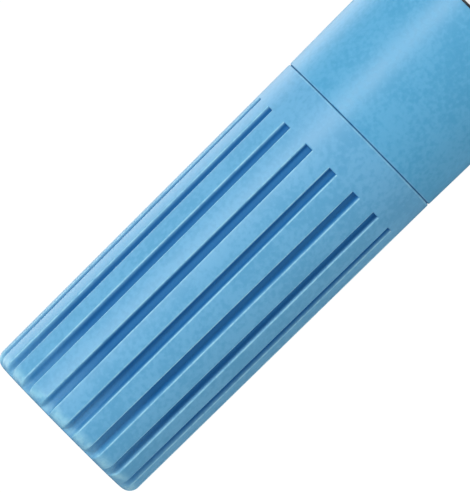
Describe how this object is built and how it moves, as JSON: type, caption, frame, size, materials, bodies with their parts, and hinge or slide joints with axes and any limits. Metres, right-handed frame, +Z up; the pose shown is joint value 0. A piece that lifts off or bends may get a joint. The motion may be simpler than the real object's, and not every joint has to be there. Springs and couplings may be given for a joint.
{
  "type": "fabric marking pen",
  "caption": "Capped felt-tip fabric marking pen lying on its side: grooved pull-off cap, smooth barrel with a blank label panel, fibre nib, ink reservoir and a stepped tail with an end plug.",
  "frame": {"origin": "on the resting surface, under the middle of the pen's length", "axes": "+X along the pen's axis from the cap's closed end to the tail plug, +Z up through the middle of the label panel"},
  "size_m": [0.13, 0.016, 0.0161],
  "materials": {
    "blue_plastic": "satin moulded plastic",
    "natural_plastic": "satin moulded plastic",
    "label_print": "satin film",
    "clear_film": "clear film",
    "inked_fibre": "bonded fibre soaked with ink"
  },
  "bodies": {
    "pen": {"barrel": "blue_plastic", "barrel_label": "label_print", "nib_holder": "natural_plastic", "fibre_nib": "inked_fibre", "ink_reservoir": "inked_fibre", "reservoir_wrap": "clear_film", "air_tube": "clear_film", "tail_plug": "blue_plastic"},
    "cap": {"cap_shell": "blue_plastic", "cap_inner_seal": "natural_plastic"}
  },
  "joints": [
    {"name": "cap_pull", "type": "slide", "parent": "pen", "child": "cap", "axis": [-1, 0, 0], "range_m": [0, 0.04]}
  ]
}
